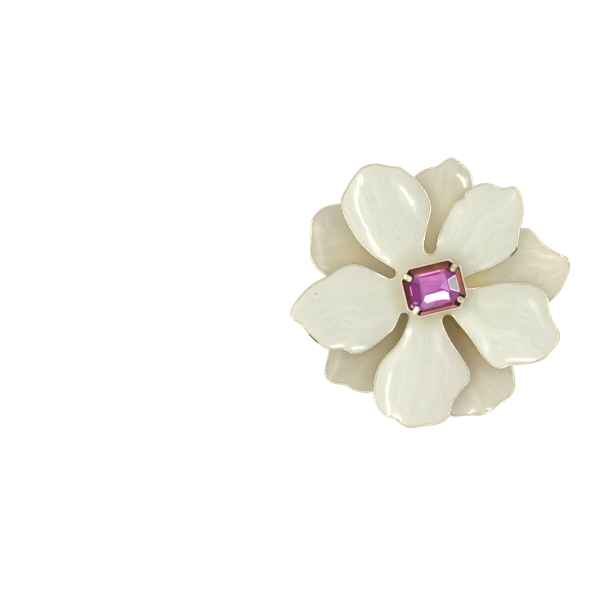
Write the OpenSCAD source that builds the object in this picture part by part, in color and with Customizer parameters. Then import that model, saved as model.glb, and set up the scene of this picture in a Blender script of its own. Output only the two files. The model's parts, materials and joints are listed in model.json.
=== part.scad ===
// Flower stud earring: two layers of five enamelled petals, one above the other, a claw-set
// step-cut stone in the middle and a post behind.
//
// The flower is drawn round its own axis: x right, y up and z towards the viewer, with z = 0 at
// the back of the hub. Bearings are in degrees, counter-clockwise from x. The whole earring is
// then leaned over to rest on the surface z = 0, on the end of its post and two back petals.

/* [Petals] */
// Thickness of the metal floor under the enamel
floor_t = 0.6; // [0.5:0.05:0.8]
// Height of the rim above the underside of the metal
rim_h = 1.1; // [1:0.05:1.3]
// Width of the metal rim round every petal
rim_w = 0.28; // [0.2:0.02:0.4]
// How far the enamel swells above the rim in the middle of a petal
enamel_swell = 0.35; // [0.1:0.05:0.5]
// Height of the front hub above the back one
layer_gap = 4.5; // [4.2:0.1:5]
// Radius of the boss that carries the front layer
boss_r = 3; // [2.5:0.1:3.5]

/* [Stone] */
// Length of the stone
stone_l = 10; // [9:0.25:10]
// Width of the stone
stone_w = 8; // [7:0.25:8]
// Length of each cut corner along both sides
stone_cut = 1.6; // [1.2:0.1:2]
// Bearing of the stone's long axis
stone_bearing = 13.5; // [0:0.5:30]
// How far the stone sits to the right of the hub's middle
stone_x = 0.95; // [0:0.05:1]
// How far the stone sits above the hub's middle, in the flower's plane
stone_y = -0.2; // [-0.3:0.05:0.3]
// Height of the stone above its girdle
crown_h = 1.2; // [1:0.1:1.5]
// Depth of the stone below its girdle
pavilion_h = 2.4; // [2.2:0.1:2.6]

/* [Setting] */
// Thickness of the cup's wall beside the girdle
cup_wall = 0.22; // [0.18:0.02:0.3]
// Width of each claw
claw_w = 1.1; // [0.9:0.1:1.3]
// How far the claws reach in over the stone
claw_reach = 1.2; // [1:0.05:1.3]

/* [Post] */
// Diameter of the post
post_d = 0.8; // [0.7:0.05:1]
// Length of the post behind its pad
post_l = 10.5; // [9:0.5:12]
// Diameter of the pad that joins the post to the hub
pad_d = 5; // [4:0.5:6]

/* [Detail] */
// Rows of facets along each petal, past the foot of the notch
rows_along = 7; // [5:1:8]
// Columns of facets across each petal
cols_across = 12; // [8:2:14]

/* [Hidden] */

// Clearances between pieces
enamel_gap = 0.06;
stone_gap = 0.05;
claw_gap = 0.08;
boss_gap = 0.15;

// Facets of round pieces
round_fn = 48;

// Rows of facets round the foot of a notch
rows_notch = 3;
// Points of the smooth outline between two rows of a table
curve_steps = 6;

// Where a petal leaves the flat hub, and over what length it rises and takes its crown
hub_r = 5.2;
rise_run = 9;
crown_run = 3;
// Where its end starts to turn back, and over what length the table's drop is reached
drop_from = 15;
drop_run = 8;
// Distance from the middle line at which the table's crown is reached
crown_half = 7.5;
// Width of one soft wave at a petal's end
wave_w = 7;

// Front petals, counter-clockwise from the right one. Each starts at the notch on its
// clockwise side.
//   bearing, notch bearing, notch radius, notch half width, rise, crown, drop, wave
front_petals_table = [
    [-23, -59.0, 5.65, 1.0, 1.0, 1.5, 0.9, 0.05],
    [ 47,   6.5, 5.40, 0.8, 1.1, 1.4, 0.8, 0.10],
    [119,  87.0, 5.65, 1.0, 1.0, 1.7, 0.8, 0.05],
    [192, 159.5, 5.90, 0.9, 0.9, 1.2, 0.1, 0.05],
    [263, 231.5, 5.75, 0.8, 1.0, 1.5, 0.0, 0.05],
];

// Sides of each front petal: distance out from the hub's middle, reach to the left of the
// petal's bearing, reach to its right. The last row is the petal's shoulder.
front_sides = [
    [[7, 2.9, 3.7], [9, 4.2, 4.7], [11, 5.6, 5.9], [13, 6.4, 7.3], [15, 7.1, 8.1],
     [16.8, 7.5, 8.1]],
    [[7, 4.4, 4.2], [9.5, 5.5, 5.5], [12, 6.3, 6.4], [13.8, 6.5, 6.8], [15.2, 6.0, 6.7],
     [16.4, 6.4, 5.9], [18.3, 5.9, 4.6]],
    [[7, 4.5, 3.2], [9, 5.6, 4.9], [11.5, 6.4, 7.1], [14, 6.8, 7.6], [17, 6.8, 7.2],
     [19.4, 6.3, 6.2]],
    [[7, 5.6, 3.5], [9, 6.9, 5.1], [11, 7.9, 6.4], [13, 8.6, 6.6], [15, 8.5, 6.1],
     [16.4, 7.5, 5.5], [18.8, 6.9, 4.8]],
    [[7, 3.9, 2.9], [9, 5.3, 3.5], [11, 7.1, 4.6], [13, 8.7, 6.1], [14.8, 9.1, 6.9],
     [16.6, 8.0, 7.2], [19, 6.7, 7.1], [21, 6.4, 6.4]],
];

// End of each front petal, from its right shoulder to its left one: distance out, reach to
// the left of its bearing.
front_ends = [
    [[18.4, -6.7], [21.2, -5.2], [23.0, -3.6], [23.6, -2.0], [24.2, 0.0], [23.7, 1.6],
     [21.9, 3.0], [20.5, 4.6], [19.8, 6.0], [18.6, 7.0]],
    [[20.2, -3.4], [21.9, -1.6], [22.8, 0.2], [22.3, 1.3], [21.0, 2.3], [20.4, 3.9],
     [19.4, 5.2]],
    [[20.3, -5.8], [21.5, -4.0], [22.8, -2.4], [23.4, 0.0], [22.5, 2.5], [21.6, 4.0],
     [20.7, 5.4]],
    [[20.6, -3.9], [22.6, -2.4], [23.9, -0.9], [23.9, 0.5], [22.5, 1.9], [21.7, 3.6],
     [20.4, 5.5]],
    [[22.7, -4.7], [23.1, -2.9], [24.0, -1.4], [24.2, 0.2], [23.6, 2.0], [23.2, 4.0],
     [22.3, 5.6]],
];

// Back petals, counter-clockwise from the right one, in the same columns
back_petals_table = [
    [ 14, -23.5, 5.6, 1.0, 0.9, 1.0, 0.9, 0.25],
    [ 84,  49.0, 5.6, 1.0, 0.9, 0.85, 0.9, 0.10],
    [155, 119.5, 5.6, 1.0, 0.9, 1.0, 0.9, 0.10],
    [223, 189.0, 5.6, 1.0, 0.9, 1.0, 0.9, 0.25],
    [299, 261.0, 5.6, 1.0, 0.9, 1.0, 0.9, 0.25],
];

back_sides = [
    [[7.5, 4.0, 4.2], [10, 5.4, 5.8], [12.5, 6.2, 7.2], [15, 6.5, 8.0], [18, 5.9, 8.0]],
    [[7.5, 4.0, 4.0], [10, 5.3, 5.4], [12.5, 5.9, 6.3], [15, 5.8, 6.6], [18.2, 4.5, 6.0]],
    [[7.5, 4.0, 4.2], [10, 5.2, 5.8], [12.5, 5.9, 7.0], [15, 5.9, 7.5], [18.5, 5.2, 7.2]],
    [[7.5, 4.2, 3.8], [10, 5.8, 5.0], [12.5, 7.0, 5.6], [15, 7.5, 5.6], [18.4, 7.0, 4.5]],
    [[7.5, 4.0, 4.4], [10, 5.6, 6.2], [12.5, 6.6, 7.6], [15, 7.0, 8.3], [18.7, 6.2, 8.2]],
];

back_ends = [
    [[20.7, -7.0], [23.0, -5.0], [24.6, -2.4], [24.4, -0.9], [22.9, 0.5], [21.3, 2.1],
     [20.5, 3.8], [19.2, 5.6]],
    [[20.1, -5.4], [21.4, -4.1], [22.6, -1.9], [21.9, -0.6], [20.8, 0.6], [20.3, 2.1],
     [19.4, 3.5]],
    [[21.2, -5.6], [22.4, -4.1], [22.9, -2.3], [22.6, -0.8], [21.7, 1.0], [20.8, 3.2],
     [20.0, 4.3]],
    [[20.5, -3.1], [22.6, -1.7], [23.5, -0.3], [22.9, 1.3], [21.8, 2.6], [21.4, 4.0],
     [20.2, 5.9]],
    [[21.3, -7.1], [22.4, -5.0], [23.7, -2.5], [23.9, -1.0], [23.5, 1.0], [23.3, 3.1],
     [22.4, 4.7], [20.6, 5.6]],
];

// The two back petals that the earring rests on
rest_left = 3;
rest_right = 4;

// Claws, by the corner of the stone that each holds, with how much further it is bent in
claw_corners = [[1, 1, 0.1], [-1, 1, 0.2], [-1, -1, -0.1], [1, -1, -0.1]];

// Column of each value in the petal tables
BEARING = 0;
NOTCH_BEARING = 1;
NOTCH_R = 2;
NOTCH_HALF = 3;
RISE = 4;
CROWN = 5;
DROP = 6;
WAVE = 7;

// A layer is its petals, their sides, their ends and the height of its underside
front = [front_petals_table, front_sides, front_ends, layer_gap];
back = [back_petals_table, back_sides, back_ends, 0];
petal_count = 5;

// Height of each level of the enamel above its layer's underside
enamel_low = floor_t + enamel_gap;
enamel_edge = rim_h - 0.05;
enamel_top = enamel_edge + enamel_swell;

// The cup's foot stands on the front boss, inside the enamel
foot_l = 7.4;
foot_w = 5.4;
foot_cut = 1.3;
foot_z = layer_gap + rim_h;
keel_z = foot_z + 0.4;
girdle_low = keel_z + pavilion_h;
girdle_t = 0.3;
girdle_top = girdle_low + girdle_t;
table_z = girdle_top + crown_h;

rows = rows_notch + rows_along;
loop_len = 2 * rows + cols_across;

function direction(bearing) = [cos(bearing), sin(bearing)];
function left_of(v) = [-v.y, v.x];
function unit(v) = v / norm(v);
function mix(a, b, t) = a * (1 - t) + b * t;
function ramp(t) = t <= 0 ? 0 : t >= 1 ? 1 : t * t * (3 - 2 * t);

// A smooth curve through the points p, sampled curve_steps times between each two of them
function knot(p, i) = p[max(0, min(len(p) - 1, i))];
function curve_at(p, t) =
    let (i = min(len(p) - 2, floor(t)), f = t - i,
         a = knot(p, i - 1), b = knot(p, i), c = knot(p, i + 1), d = knot(p, i + 2))
    b + f * (c - a) / 2 + f * f * (2 * a - 5 * b + 4 * c - d) / 2
      + f * f * f * (3 * b - a - 3 * c + d) / 2;
function smooth(p) = [for (k = [0 : (len(p) - 1) * curve_steps]) curve_at(p, k / curve_steps)];

// The same line in n equal lengths
function lengths(p) =
    [for (i = 0, s = 0; i < len(p); s = s + (i + 1 < len(p) ? norm(p[i + 1] - p[i]) : 0),
          i = i + 1) s];
function resample(p, n) =
    let (s = lengths(p), last = len(p) - 1,
         xs = [for (i = [0 : last]) [s[i], p[i].x]],
         ys = [for (i = [0 : last]) [s[i], p[i].y]])
    [for (k = [0 : n]) [lookup(s[last] * k / n, xs), lookup(s[last] * k / n, ys)]];
function part_of(p, from, to) = [for (i = [from : to]) p[i]];

// Foot of the notch that starts row n of a petal table: a quarter circle to the petal on its
// left (side = 1) or on its right (side = -1), drawn inset mm into the metal
function notch_arc(row, side, inset) =
    let (ahead = direction(row[NOTCH_BEARING]), aside = side * left_of(ahead),
         middle = (row[NOTCH_R] + row[NOTCH_HALF]) * ahead, r = row[NOTCH_HALF] + inset)
    [for (k = [0 : rows_notch])
        let (a = 90 * k / rows_notch) middle - r * cos(a) * ahead + r * sin(a) * aside];

// From a petal's own directions, out and left, to the flower's x and y
function placed(row, p) =
    p.x * direction(row[BEARING]) + p.y * left_of(direction(row[BEARING]));

// Edge of one petal, from the notch on its right round the end to the notch on its left
function petal_edge(layer, n, inset) =
    let (row = layer[0][n], next = layer[0][(n + 1) % petal_count],
         sides = layer[1][n], ends = layer[2][n], last = len(sides) - 1,
         arc_right = notch_arc(row, 1, 0), arc_left = notch_arc(next, -1, 0),
         line = smooth(concat(
             [arc_right[rows_notch]],
             [for (s = sides) placed(row, [s[0], -s[2]])],
             [for (e = ends) placed(row, e)],
             [for (i = [last : -1 : 0]) placed(row, [sides[i][0], sides[i][1]])],
             [arc_left[rows_notch]])),
         right_end = (last + 1) * curve_steps,
         left_start = right_end + (len(ends) + 1) * curve_steps,
         right = resample(part_of(line, 0, right_end), rows_along),
         end = resample(part_of(line, right_end, left_start), cols_across),
         left = resample(part_of(line, left_start, len(line) - 1), rows_along),
         edge = concat(part_of(arc_right, 0, rows_notch - 1), right,
                       part_of(end, 1, cols_across), part_of(left, 1, rows_along),
                       [for (i = [rows_notch - 1 : -1 : 0]) arc_left[i]]),
         in_right = notch_arc(row, 1, inset), in_left = notch_arc(next, -1, inset))
    [for (k = [0 : loop_len])
        k <= rows_notch ? in_right[k]
        : k >= loop_len - rows_notch ? in_left[loop_len - k]
        : edge[k] + inset * left_of(unit(edge[k + 1] - edge[k - 1]))];

// Rows of points over one petal, each row from left to right, from the hub to the end
function petal_grid(layer, n, inset) =
    let (edge = petal_edge(layer, n, inset), ahead = direction(layer[0][n][BEARING]),
         left0 = edge[loop_len], right0 = edge[0],
         left1 = edge[rows + cols_across], right1 = edge[rows],
         bearing_right = layer[0][n][NOTCH_BEARING],
         next_bearing = layer[0][(n + 1) % petal_count][NOTCH_BEARING],
         bearing_left = next_bearing + (next_bearing < bearing_right ? 360 : 0),
         out0 = (left0 + right0) * ahead / 2, out1 = (left1 + right1) * ahead / 2)
    [for (i = [0 : rows])
        let (l = edge[loop_len - i], r = edge[i],
             v = ((l + r) * ahead / 2 - out0) / (out1 - out0))
        [for (j = [0 : cols_across])
            let (u = j / cols_across,
                 hub = mix(norm(left0), norm(right0), u)
                       * direction(mix(bearing_left, bearing_right, u)),
                 tip = edge[rows + cols_across - j])
            i == rows ? tip : j == 0 ? l : j == cols_across ? r
            : mix(l, r, u) + (1 - v) * (hub - mix(left0, right0, u))
              + v * (tip - mix(left1, right1, u))]];

// Height of a layer's underside at a point of one of its petals
function petal_z(layer, n, p) =
    let (row = layer[0][n], ahead = direction(row[BEARING]),
         out = p * ahead, across = p * left_of(ahead),
         crowned = ramp((out - hub_r) / crown_run), over = max(0, out - drop_from) / drop_run)
    layer[3] + row[RISE] * ramp((out - hub_r) / rise_run) - row[DROP] * over * over
    - row[CROWN] * crowned * pow(across / crown_half, 2)
    + row[WAVE] * over * cos(360 * across / wave_w);

// Swell of the enamel, 0 at the rim and 1 in the middle
function swell(i, j) =
    (1 - pow(2 * j / cols_across - 1, 6)) * (1 - pow(i / rows, 8));

// The points of a whole layer, petal by petal and row by row, lift mm above its underside
function sheet(layer, inset, lift, swelling = 0) =
    [for (n = [0 : petal_count - 1])
        let (grid = petal_grid(layer, n, inset))
        for (i = [0 : rows], j = [0 : cols_across])
            [grid[i][j].x, grid[i][j].y,
             petal_z(layer, n, grid[i][j]) + lift + swelling * swell(i, j)]];

// Number of a point of a sheet. Two petals share the point at the foot of their notch.
function at(base, n, i, j) =
    i == 0 && j == 0 ? at(base, (n + 1) % petal_count, 0, cols_across)
    : base + (n * (rows + 1) + i) * (cols_across + 1) + j;
sheet_len = petal_count * (rows + 1) * (cols_across + 1);

// Numbers of the points along the outer edge and round the hub, counter-clockwise
function outer_loop(base) =
    [for (n = [0 : petal_count - 1])
        each concat([for (i = [0 : rows]) at(base, n, i, cols_across)],
                    [for (j = [cols_across - 1 : -1 : 0]) at(base, n, rows, j)],
                    [for (i = [rows - 1 : -1 : 1]) at(base, n, i, 0)])];
function hub_loop(base) =
    [for (n = [0 : petal_count - 1], j = [cols_across : -1 : 1]) at(base, n, 0, j)];
function counted(base, n) = [for (k = [0 : n - 1]) base + k];

// Triangles between two rows of points, facing up where a lies outside b, further on or below
function strip(a, b) =
    [for (k = [0 : len(a) - 2]) each [[b[k], b[k + 1], a[k + 1]], [b[k], a[k + 1], a[k]]]];
function closed_strip(a, b) = strip(concat(a, [a[0]]), concat(b, [b[0]]));
function fan(middle, loop) =
    [for (k = [0 : len(loop) - 1]) [middle, loop[(k + 1) % len(loop)], loop[k]]];
function flipped(faces) = [for (f = faces) [f[0], f[2], f[1]]];
function sheet_faces(base) =
    [for (n = [0 : petal_count - 1], i = [0 : rows - 1])
        each strip([for (j = [0 : cols_across]) at(base, n, i, j)],
                   [for (j = [0 : cols_across]) at(base, n, i + 1, j)])];

// Points round the hub, one for each point of the hub's loop, on a circle or an octagon
hub_points = petal_count * cols_across;
function hub_bearings(layer, centre) =
    [for (n = [0 : petal_count - 1])
        let (grid = petal_grid(layer, n, 0))
        for (j = [cols_across : -1 : 1])
            atan2(grid[0][j].y - centre.y, grid[0][j].x - centre.x)];
function octagon_reach(bearing, l, w, cut) =
    let (c = abs(cos(bearing)), s = abs(sin(bearing)))
    min(l / 2 / max(c, 0.001), w / 2 / max(s, 0.001), ((l + w) / 2 - cut) / (c + s));
function circle_ring(layer, r) = [for (b = hub_bearings(layer, [0, 0])) r * direction(b)];
function foot_ring(layer, spread) =
    let (centre = [stone_x, stone_y])
    [for (b = hub_bearings(layer, centre))
        centre + direction(b) * (spread
            + octagon_reach(b - stone_bearing, foot_l, foot_w, foot_cut))];
function raised(ring, z) = [for (p = ring) [p.x, p.y, z]];

// Metal of one layer: a tray with a rim, and a boss of the outline ring in its middle
module petals_metal(layer, ring, centre, boss_z) {
    under = 0;
    rim_out = under + sheet_len;
    rim_in = rim_out + sheet_len;
    tray = rim_in + sheet_len;
    boss_low = tray + sheet_len;
    boss_high = boss_low + hub_points;
    middle_low = boss_high + hub_points;
    middle_high = middle_low + 1;
    polyhedron(
        points = concat(
            sheet(layer, 0, 0), sheet(layer, 0, rim_h), sheet(layer, rim_w, rim_h),
            sheet(layer, rim_w, floor_t), raised(ring, layer[3] + floor_t),
            raised(ring, boss_z), [[0, 0, layer[3]]], [[centre.x, centre.y, boss_z]]),
        faces = concat(
            flipped(sheet_faces(under)), flipped(fan(middle_low, hub_loop(under))),
            closed_strip(outer_loop(under), outer_loop(rim_out)),
            closed_strip(outer_loop(rim_out), outer_loop(rim_in)),
            closed_strip(outer_loop(rim_in), outer_loop(tray)),
            sheet_faces(tray),
            closed_strip(hub_loop(tray), counted(boss_low, hub_points)),
            closed_strip(counted(boss_low, hub_points), counted(boss_high, hub_points)),
            fan(middle_high, counted(boss_high, hub_points))),
        convexity = 8);
}

// Enamel of one layer, which fills the tray round the boss
module petals_enamel(layer, ring) {
    inset = rim_w + enamel_gap;
    under = 0;
    top = under + sheet_len;
    ring_low = top + sheet_len;
    ring_high = ring_low + hub_points;
    polyhedron(
        points = concat(
            sheet(layer, inset, enamel_low), sheet(layer, inset, enamel_edge, enamel_swell),
            raised(ring, layer[3] + enamel_low), raised(ring, layer[3] + enamel_top)),
        faces = concat(
            flipped(sheet_faces(under)), sheet_faces(top),
            closed_strip(outer_loop(under), outer_loop(top)),
            flipped(closed_strip(hub_loop(under), counted(ring_low, hub_points))),
            closed_strip(hub_loop(top), counted(ring_high, hub_points)),
            flipped(closed_strip(counted(ring_low, hub_points),
                                 counted(ring_high, hub_points)))),
        convexity = 8);
}

// An octagonal solid from rows of height, length, width and cut corner, bottom to top
module octagonal(levels) {
    last = len(levels) - 1;
    polyhedron(
        points = [for (v = levels)
            each let (x = v[1] / 2, y = v[2] / 2, c = v[3])
                [[x, c - y, v[0]], [x, y - c, v[0]], [x - c, y, v[0]], [c - x, y, v[0]],
                 [-x, y - c, v[0]], [-x, c - y, v[0]], [c - x, -y, v[0]], [x - c, -y, v[0]]]],
        faces = concat(
            [counted(0, 8)],
            [for (i = [0 : last - 1]) each closed_strip(counted(8 * i, 8),
                                                        counted(8 * i + 8, 8))],
            [[for (k = [7 : -1 : 0]) 8 * last + k]]),
        convexity = 4);
}

// Places what is drawn round the stone's own axis
module at_stone() {
    translate([stone_x, stone_y, 0]) rotate([0, 0, stone_bearing]) children();
}

// Points of one petal's edge, lift mm above its underside
function edge_points(layer, n, lift) =
    [for (p = petal_edge(layer, n, 0)) [p.x, p.y, petal_z(layer, n, p) + lift]];

// Pad of the post, and the rounding of the post's end
pad_t = 0.5;
tip_r = 0.2;
tip_h = 0.3;
post_end = -pad_t - post_l;

// The earring rests on the post's end and one point of each of two petals. Seen from the post's
// end, these points are those whose slopes form the outer tangent of both petals.
lean_bearing_guess = (back_petals_table[rest_left][BEARING]
                      + back_petals_table[rest_right][BEARING]) / 2;
tip_point = concat(tip_r * direction(lean_bearing_guess), [post_end]);
function slopes(n) =
    [for (q = edge_points(back, n, 0))
        let (d = q - tip_point) [d.x / d.z, d.y / d.z]];
function heading(a, b) = atan2(b.y - a.y, b.x - a.x);
function most(values, points) = points[search([max(values)], values)[0]];
function right_touch(a) = most([for (b = slopes_right) -heading(a, b)], slopes_right);
function left_touch(b) = most([for (a = slopes_left) heading(a, b)], slopes_left);
slopes_left = slopes(rest_left);
slopes_right = slopes(rest_right);
touch_right = right_touch(left_touch(right_touch(slopes_left[rows])));
touch_left = left_touch(touch_right);
downhill = -left_of(unit(touch_right - touch_left));
lean = atan2(1, touch_left * downhill);
spin = -90 - atan2(downhill.y, downhill.x);

function spun(p) = [p.x * cos(spin) - p.y * sin(spin), p.x * sin(spin) + p.y * cos(spin), p.z];
function leaned(p) =
    let (q = spun(p))
    [q.x, q.y * cos(lean) - q.z * sin(lean), q.y * sin(lean) + q.z * cos(lean)];
all_edges = [for (layer = [front, back], n = [0 : petal_count - 1], lift = [0, rim_h])
    each [for (p = edge_points(layer, n, lift)) leaned(p)]];
edge_xs = [for (p = all_edges) p.x];
edge_ys = [for (p = all_edges) p.y];
rest_shift = [-(min(edge_xs) + max(edge_xs)) / 2, -(min(edge_ys) + max(edge_ys)) / 2,
              -leaned(tip_point).z];

module resting() {
    translate(rest_shift) rotate([lean, 0, 0]) rotate([0, 0, spin]) children();
}

module front_petals() {
    color([0.93, 0.80, 0.55])
        resting() petals_metal(front, foot_ring(front, 0), [stone_x, stone_y], foot_z);
}

module front_enamel() {
    color([0.88, 0.88, 0.80])
        resting() petals_enamel(front, foot_ring(front, boss_gap));
}

module back_petals() {
    color([0.93, 0.80, 0.55])
        resting() petals_metal(back, circle_ring(back, boss_r), [0, 0], layer_gap);
}

module back_enamel() {
    color([0.82, 0.79, 0.68])
        resting() petals_enamel(back, circle_ring(back, boss_r + boss_gap));
}

// Levels of the stone, each a height, a length, a width and a cut corner
pavilion_levels = [
    [keel_z, 2.6, 0.1, 0.03],
    [keel_z + 0.45 * pavilion_h, 6, 4.4, 1.1],
    [girdle_low, stone_l, stone_w, stone_cut],
];
crown_levels = [
    [girdle_top, stone_l, stone_w, stone_cut],
    [girdle_top + 0.6 * crown_h, stone_l - 1.6, stone_w - 1.5, stone_cut + 0.1],
    [table_z, stone_l - 4.8, stone_w - 3.5, stone_cut - 0.15],
];

// How far the cut corner of a level lies inside the girdle's, and the crown's height there
function corner_reach(v) = ((v[1] + v[2]) / 2 - v[3]) / sqrt(2);
crown_slope = [for (v = crown_levels) [corner_reach(crown_levels[0]) - corner_reach(v), v[0]]];
function crown_z(inside) = lookup(inside, crown_slope) + claw_gap;

// One claw, drawn where x = 0 is the stone's cut corner and x runs outwards
module claw(reach) {
    tip_round = claw_w / 2;
    outer = stone_gap + cup_wall + 0.15;
    inner = stone_gap + cup_wall / 2;
    root_z = girdle_low - 1.2;
    knee = crown_slope[1][0];
    intersection() {
        rotate([90, 0, 0])
            linear_extrude(claw_w, center = true)
                polygon([[outer - 0.25, root_z], [outer, root_z + 0.5],
                         [outer, girdle_top + 0.2], [outer - 0.15, girdle_top + 0.45],
                         [0.25 - knee, crown_z(knee) + 0.45],
                         [0.3 - reach, crown_z(reach) + 0.4],
                         [0.06 - reach, crown_z(reach) + 0.25], [-reach, crown_z(reach)],
                         [-knee, crown_z(knee)], [0, crown_z(0)], [inner, girdle_top],
                         [inner, root_z]]);
        translate([0, 0, root_z])
            linear_extrude(table_z) {
                translate([tip_round - reach, 0]) circle(tip_round, $fn = round_fn);
                translate([tip_round - reach, -tip_round])
                    square([outer + reach - tip_round, claw_w]);
            }
    }
}

module setting() {
    l = stone_l + 2 * stone_gap;
    w = stone_w + 2 * stone_gap;
    wall = 2 * cup_wall;
    wall_cut = stone_cut + cup_wall / 2;
    rim_z = girdle_top - 0.05;
    color([0.93, 0.80, 0.55])
        resting() at_stone() {
            difference() {
                octagonal([[foot_z, foot_l, foot_w, foot_cut],
                           [foot_z + 0.5, foot_l, foot_w, foot_cut],
                           [girdle_low - 0.5, l + wall, w + wall, wall_cut],
                           [rim_z, l + wall, w + wall, wall_cut]]);
                octagonal(concat(
                    [for (v = pavilion_levels)
                        [v[0] - stone_gap, v[1] + 2 * stone_gap, v[2] + 2 * stone_gap, v[3]]],
                    [[rim_z + 1, l, w, stone_cut]]));
            }
            for (corner = claw_corners)
                translate([corner.x * (stone_l - stone_cut) / 2,
                           corner.y * (stone_w - stone_cut) / 2, 0])
                    rotate([0, 0, atan2(corner.y, corner.x)]) claw(claw_reach + corner[2]);
        }
}

module stone() {
    color([0.62, 0.22, 0.55])
        resting() at_stone() octagonal(concat(pavilion_levels, crown_levels));
}

module ear_post() {
    color([0.93, 0.80, 0.55])
        resting()
            rotate_extrude($fn = round_fn)
                polygon([[0, 0], [pad_d / 2, 0], [pad_d / 2, -0.2], [pad_d / 2 - 0.3, -pad_t],
                         [post_d / 2, -pad_t], [post_d / 2, post_end + tip_h],
                         [tip_r, post_end], [0, post_end]]);
}

front_petals();
front_enamel();
back_petals();
back_enamel();
setting();
stone();
ear_post();
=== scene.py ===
"""Looks of the flower stud earring: enamel, gilt metal and a step-cut stone.

Sizes are millimetres in the flower's own axes, x right, y up and z towards the viewer, with
z = 0 at the back of the hub, unless a name says otherwise. FLOWER takes them to the frame.
"""

import json
import math

import bpy
import numpy as np
from mathutils import Matrix, Vector
from mathutils.geometry import delaunay_2d_cdt


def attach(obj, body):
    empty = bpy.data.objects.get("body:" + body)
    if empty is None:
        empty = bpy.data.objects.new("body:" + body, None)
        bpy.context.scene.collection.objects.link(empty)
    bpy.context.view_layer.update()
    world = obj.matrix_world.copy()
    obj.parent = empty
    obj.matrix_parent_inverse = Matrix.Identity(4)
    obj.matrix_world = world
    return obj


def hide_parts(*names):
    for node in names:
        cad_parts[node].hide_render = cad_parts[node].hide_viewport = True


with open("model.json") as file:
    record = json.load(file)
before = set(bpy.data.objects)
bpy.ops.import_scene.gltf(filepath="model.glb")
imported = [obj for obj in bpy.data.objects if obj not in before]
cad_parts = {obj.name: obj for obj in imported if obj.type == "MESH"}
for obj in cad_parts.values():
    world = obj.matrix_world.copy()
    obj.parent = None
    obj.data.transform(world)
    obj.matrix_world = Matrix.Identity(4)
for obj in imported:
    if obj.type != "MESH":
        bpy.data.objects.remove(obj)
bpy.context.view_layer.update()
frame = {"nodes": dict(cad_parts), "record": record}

MM = 0.001

# Levels of the part, as its source names them
FLOOR_T = 0.6
RIM_H = 1.1
RIM_W = 0.30
ENAMEL_SWELL = 0.35
LAYER_GAP = 4.5
BOSS_R = 3.0
PAD_T = 0.5
# Edge of the enamel beside the rim and its flat back, above the metal's underside
ENAMEL_EDGE = RIM_H - 0.05
ENAMEL_LOW = FLOOR_T + 0.06

# The stone: its length, width and cut corner, the bearing of its length, and its middle
STONE_L = 10.0
STONE_W = 8.0
STONE_CUT = 1.6
STONE_BEARING = 13.5
STONE_AT = (0.95, -0.2)
# Length, width and cut corner of the setting's foot, and the levels from it up to the table
FOOT = (7.4, 5.4, 1.3)
FOOT_Z = LAYER_GAP + RIM_H
KEEL_Z = FOOT_Z + 0.4
GIRDLE_LOW = KEEL_Z + 2.4
GIRDLE_TOP = GIRDLE_LOW + 0.3
TABLE_Z = GIRDLE_TOP + 1.2

# Every petal: radius of the hub, runs of the petal's rise and of its crown, half width of the
# crown, start and run of its end's drop, and width of a wave
HUB_R = 5.2
RISE_RUN = 9.0
CROWN_RUN = 3.0
CROWN_HALF = 7.5
DROP_FROM = 15.0
DROP_RUN = 8.0
WAVE_W = 7.0

# Petals, counter-clockwise from the right one, each from the notch on its clockwise side
BEARING, NOTCH_BEARING, NOTCH_R, NOTCH_HALF, RISE, CROWN, DROP, WAVE = range(8)
FRONT_PETALS = [
    (-23, -59.0, 5.65, 1.0, 1.0, 1.5, 0.9, 0.05),
    (47, 6.5, 5.40, 0.8, 1.1, 1.4, 0.8, 0.10),
    (119, 87.0, 5.65, 1.0, 1.0, 1.7, 0.8, 0.05),
    (192, 159.5, 5.90, 0.9, 0.9, 1.2, 0.1, 0.05),
    (263, 231.5, 5.75, 0.8, 1.0, 1.5, 0.0, 0.05),
]
BACK_PETALS = [
    (14, -23.5, 5.6, 1.0, 0.9, 1.0, 0.9, 0.25),
    (84, 49.0, 5.6, 1.0, 0.9, 0.85, 0.9, 0.10),
    (155, 119.5, 5.6, 1.0, 0.9, 1.0, 0.9, 0.10),
    (223, 189.0, 5.6, 1.0, 0.9, 1.0, 0.9, 0.25),
    (299, 261.0, 5.6, 1.0, 0.9, 1.0, 0.9, 0.25),
]

# Sides of each petal: distance out from the hub, reach to its left, reach to its right
FRONT_SIDES = [
    [(7, 2.9, 3.7), (9, 4.2, 4.7), (11, 5.6, 5.9), (13, 6.4, 7.3), (15, 7.1, 8.1), (16.8, 7.5, 8.1)],
    [(7, 4.4, 4.2), (9.5, 5.5, 5.5), (12, 6.3, 6.4), (13.8, 6.5, 6.8), (15.2, 6.0, 6.7),
     (16.4, 6.4, 5.9), (18.3, 5.9, 4.6)],
    [(7, 4.5, 3.2), (9, 5.6, 4.9), (11.5, 6.4, 7.1), (14, 6.8, 7.6), (17, 6.8, 7.2),
     (19.4, 6.3, 6.2)],
    [(7, 5.6, 3.5), (9, 6.9, 5.1), (11, 7.9, 6.4), (13, 8.6, 6.6), (15, 8.5, 6.1), (16.4, 7.5, 5.5),
     (18.8, 6.9, 4.8)],
    [(7, 3.9, 2.9), (9, 5.3, 3.5), (11, 7.1, 4.6), (13, 8.7, 6.1), (14.8, 9.1, 6.9),
     (16.6, 8.0, 7.2), (19, 6.7, 7.1), (21, 6.4, 6.4)],
]
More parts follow.
